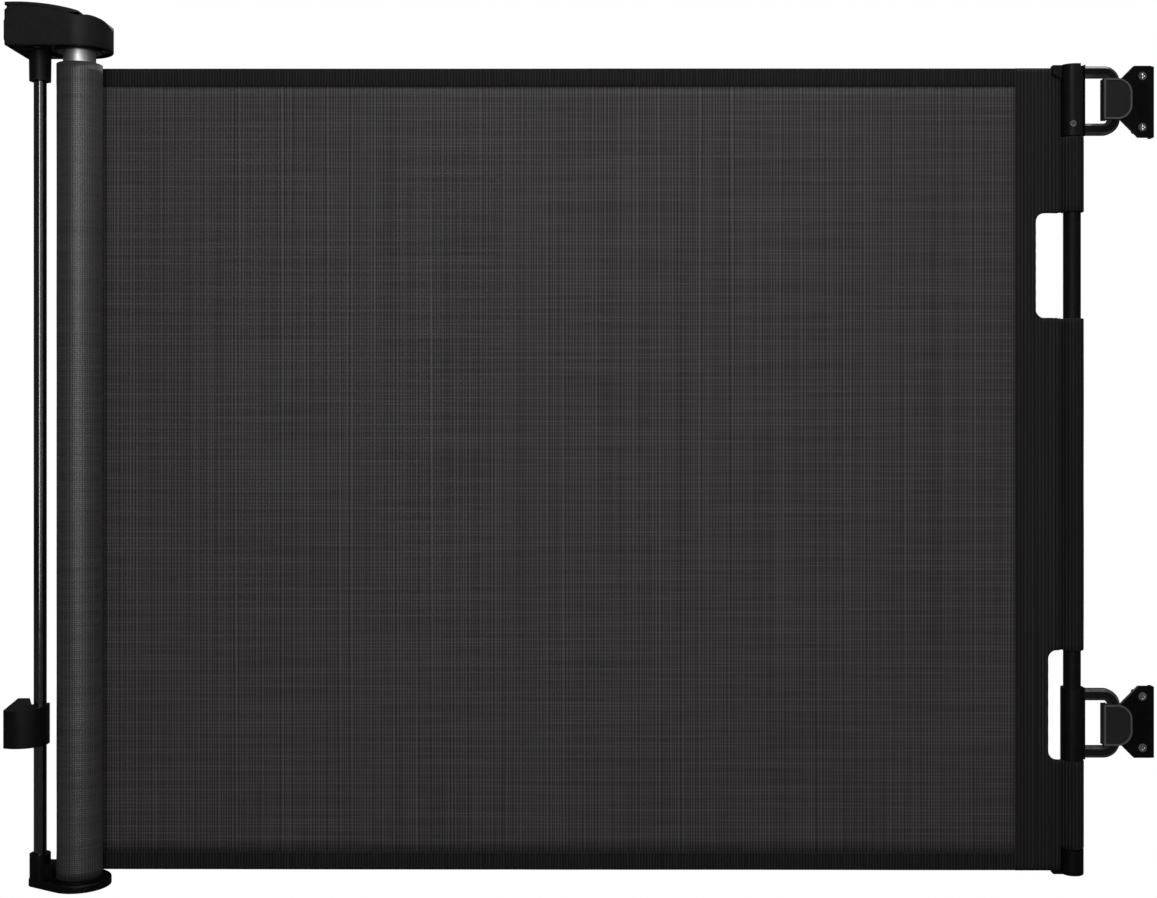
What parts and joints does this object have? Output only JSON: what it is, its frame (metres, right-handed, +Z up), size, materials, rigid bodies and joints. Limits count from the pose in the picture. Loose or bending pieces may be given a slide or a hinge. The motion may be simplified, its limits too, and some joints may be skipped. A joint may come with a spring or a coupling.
{
  "type": "safety baby gate",
  "caption": "Retractable child safety gate: a mesh barrier on a sprung roller with a locking head, pulled across an opening by a bar whose loops hook onto two wall catches",
  "frame": {"origin": "On the left wall face, at the middle of the lower wall bracket", "axes": "+X along the gate from the roller to the catches, +Y to the back of the gate, +Z up"},
  "size_m": [1.1045, 0.0773, 0.8393],
  "materials": {
    "head_plastic": "satin, fine moulded grain",
    "lever_plastic": "satin, fine moulded grain",
    "bracket_plastic": "satin",
    "base_plastic": "satin",
    "inner_plastic": "plain",
    "rod_enamel": "gloss black enamel",
    "bar_enamel": "satin black enamel",
    "spindle_steel": "plain turned",
    "spring_steel": "oiled wire",
    "pin_steel": "ground",
    "screw_steel": "zinc plated",
    "black_screw": "black zinc",
    "roller_aluminium": "satin drawn tube",
    "brake_rubber": "moulded",
    "wound_fabric": "coated woven mesh, wound",
    "mesh_fabric": "coated woven mesh",
    "hem_webbing": "folded hem",
    "band_webbing": "ribbed webbing",
    "sleeve_fabric": "ribbed webbing",
    "clamp_plastic": "semi-gloss",
    "loop_plastic": "gloss",
    "catch_plastic": "semi-gloss"
  },
  "bodies": {
    "wall_side": {"head_shell": "head_plastic", "head_floor": "head_plastic", "head_screws": "screw_steel", "lever_pin": "pin_steel", "upper_bearing": "inner_plastic", "upper_wall_plate": "bracket_plastic", "shoe_spring": "spring_steel", "mounting_rod": "rod_enamel", "lower_wall_bracket": "bracket_plastic", "base_shell": "base_plastic", "base_cover": "base_plastic", "base_screws": "screw_steel", "base_spindle": "spindle_steel", "torsion_spring": "spring_steel", "upper_catch": "catch_plastic", "lower_catch": "catch_plastic", "catch_screws": "black_screw"},
    "lever": {"lock_lever": "lever_plastic"},
    "shoe": {"brake_shoe": "inner_plastic", "brake_pad": "brake_rubber"},
    "roller": {"roller_tube": "roller_aluminium", "wound_mesh": "wound_fabric", "roller_bottom_plug": "inner_plastic", "roller_top_plug": "inner_plastic", "brake_drum": "inner_plastic"},
    "mesh_lead": {"lead_band": "band_webbing", "mesh_panel": "mesh_fabric", "top_hem": "hem_webbing", "bottom_hem": "hem_webbing", "upper_sleeve": "sleeve_fabric", "middle_sleeve": "sleeve_fabric", "lower_sleeve": "sleeve_fabric"},
    "handle_bar": {"pull_bar": "bar_enamel", "bar_top_cap": "clamp_plastic", "bar_bottom_cap": "clamp_plastic", "upper_clamp_cover": "clamp_plastic", "upper_clamp_body": "clamp_plastic", "upper_loop": "loop_plastic", "lower_clamp_cover": "clamp_plastic", "lower_clamp_body": "clamp_plastic", "lower_loop": "loop_plastic", "clamp_screws": "black_screw"}
  },
  "joints": [
    {"name": "retract", "type": "slide", "parent": "wall_side", "child": "mesh_lead", "axis": [-1, 0, 0], "range_m": [0, 0.88], "deforming": ["mesh_panel", "top_hem", "bottom_hem"]},
    {"name": "roller_turn", "type": "hinge", "parent": "wall_side", "child": "roller", "pos_m": [0.0655, 0, 0], "axis": [0, 0, 1], "range_deg": [0, 2350]},
    {"name": "bar_swing", "type": "hinge", "parent": "mesh_lead", "child": "handle_bar", "pos_m": [1.0225, 0.014, 0], "axis": [0, 0, 1], "range_deg": [0, 40]},
    {"name": "lever_lift", "type": "hinge", "parent": "wall_side", "child": "lever", "pos_m": [0.011, 0, 0.6795], "axis": [0, -1, 0], "range_deg": [0, 30]},
    {"name": "shoe_release", "type": "slide", "parent": "wall_side", "child": "shoe", "axis": [-1, 0, 0], "range_m": [0, 0.00255], "deforming": ["shoe_spring"]}
  ],
  "couplings": [
    {"joint": "roller_turn", "follows": "retract", "rad_per_m": 46.512},
    {"joint": "shoe_release", "follows": "lever_lift", "m_per_rad": 0.0047746}
  ]
}
